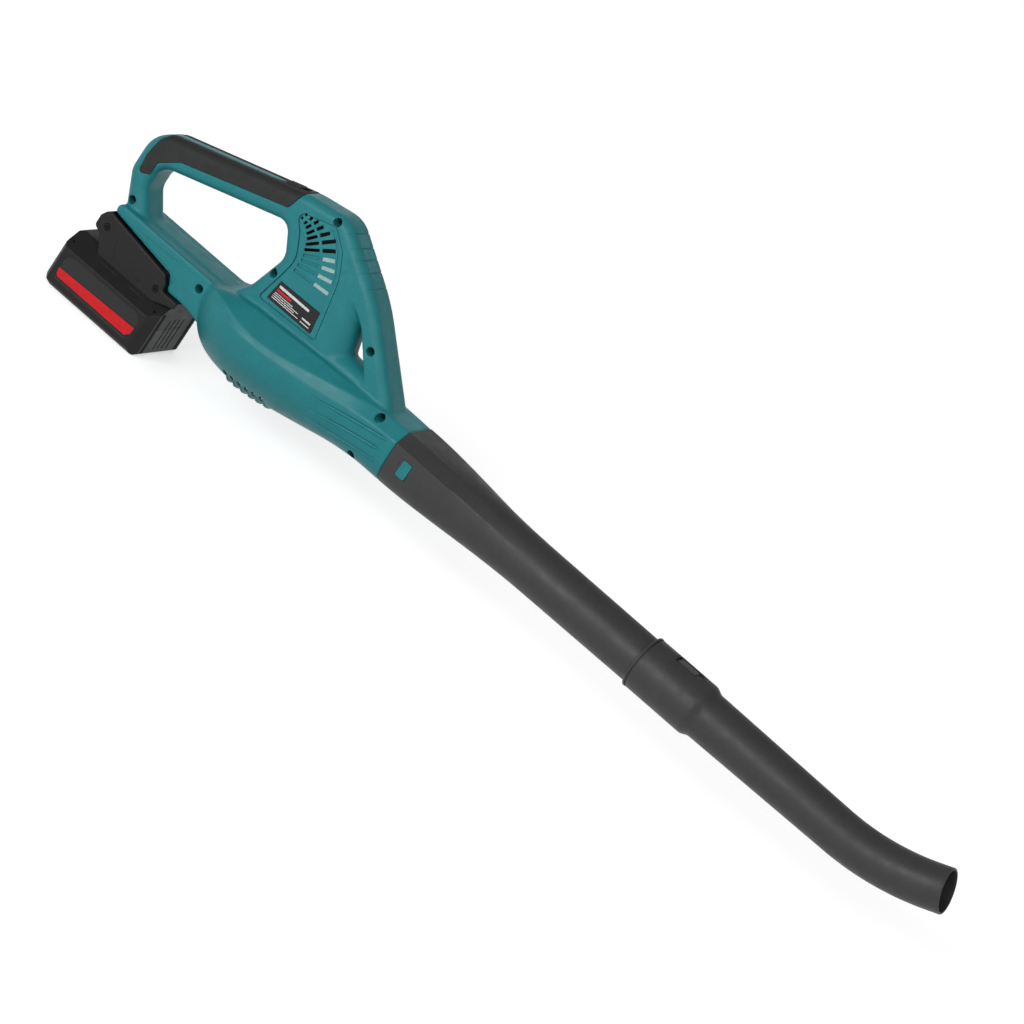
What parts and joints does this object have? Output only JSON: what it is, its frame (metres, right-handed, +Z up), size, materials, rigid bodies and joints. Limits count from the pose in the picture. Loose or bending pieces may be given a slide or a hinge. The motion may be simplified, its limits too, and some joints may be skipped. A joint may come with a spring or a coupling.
{
  "type": "leaf blower",
  "caption": "Cordless leaf blower: fan housing with a loop handle and slide switch, slide-on battery pack, quick-release rear tube and bent front tube.",
  "frame": {"origin": "middle of the flat face under the battery pack", "axes": "+X forward along the blow tubes, +Y to the left, +Z up towards the handle"},
  "size_m": [0.9839, 0.1006, 0.221],
  "materials": {
    "housing": "satin",
    "grip": "matt",
    "plate": "gloss",
    "black_plastic": "matt",
    "tube_plastic": "matt",
    "pack_plastic": "matt",
    "steel": "satin",
    "dark_metal": "satin",
    "copper": "satin",
    "board": "satin",
    "wire": "satin",
    "holder": "satin",
    "cell": "gloss"
  },
  "bodies": {
    "blower": {"right_housing": "housing", "left_housing": "housing", "right_grip_pad": "grip", "left_grip_pad": "grip", "nameplate": "plate", "housing_screws": "steel", "switch_bezel": "black_plastic", "switch_module": "black_plastic", "speed_board": "board", "supply_wires": "wire", "motor_wires": "wire", "terminal_block": "black_plastic", "terminal_blades": "copper", "adaptor": "pack_plastic", "adaptor_screws": "steel", "motor_can": "steel", "motor_magnets": "dark_metal", "motor_end_cap": "black_plastic", "motor_brushes": "copper", "front_bearing": "steel", "rear_bearing": "steel", "motor_mount": "black_plastic", "stator": "black_plastic"},
    "rotor": {"motor_shaft": "steel", "armature": "copper", "commutator": "copper", "impeller": "black_plastic", "impeller_nut": "steel"},
    "knob": {"slide_knob": "black_plastic"},
    "battery": {"battery_lower_case": "pack_plastic", "battery_upper_case": "pack_plastic", "cell_holder": "holder", "cells": "cell", "cell_strips": "steel", "battery_board": "board", "battery_contacts": "copper", "battery_screws": "steel", "release_spring": "steel"},
    "release": {"release_button": "black_plastic"},
    "rear_tube": {"rear_tube": "tube_plastic", "right_lock_spring": "steel", "left_lock_spring": "steel"},
    "right_lock": {"right_lock_button": "housing"},
    "left_lock": {"left_lock_button": "housing"},
    "front_tube": {"front_tube": "tube_plastic"}
  },
  "joints": [
    {"name": "motor_spin", "type": "hinge", "parent": "blower", "child": "rotor", "pos_m": [0.16, 0, 0.075], "axis": [1, 0, 0], "continuous": true},
    {"name": "slide_switch", "type": "slide", "parent": "blower", "child": "knob", "axis": [0.9613, 0, 0.2756], "range_m": [0, 0.007]},
    {"name": "battery_slide", "type": "slide", "parent": "blower", "child": "battery", "axis": [-1, 0, 0], "range_m": [0, 0.1]},
    {"name": "release_press", "type": "slide", "parent": "battery", "child": "release", "axis": [0, 0, -1], "range_m": [0, 0.004], "stiffness_N_per_m": 800, "springref_m": -0.002, "deforming": ["release_spring"]},
    {"name": "rear_tube_slide", "type": "slide", "parent": "blower", "child": "rear_tube", "axis": [1, 0, 0], "range_m": [0, 0.04]},
    {"name": "right_lock_press", "type": "slide", "parent": "rear_tube", "child": "right_lock", "axis": [0, 1, 0], "range_m": [0, 0.003], "stiffness_N_per_m": 800, "springref_m": -0.002, "deforming": ["right_lock_spring"]},
    {"name": "left_lock_press", "type": "slide", "parent": "rear_tube", "child": "left_lock", "axis": [0, -1, 0], "range_m": [0, 0.003], "stiffness_N_per_m": 800, "springref_m": -0.002, "deforming": ["left_lock_spring"]},
    {"name": "front_tube_slide", "type": "slide", "parent": "rear_tube", "child": "front_tube", "axis": [1, 0, 0], "range_m": [0, 0.07]}
  ]
}
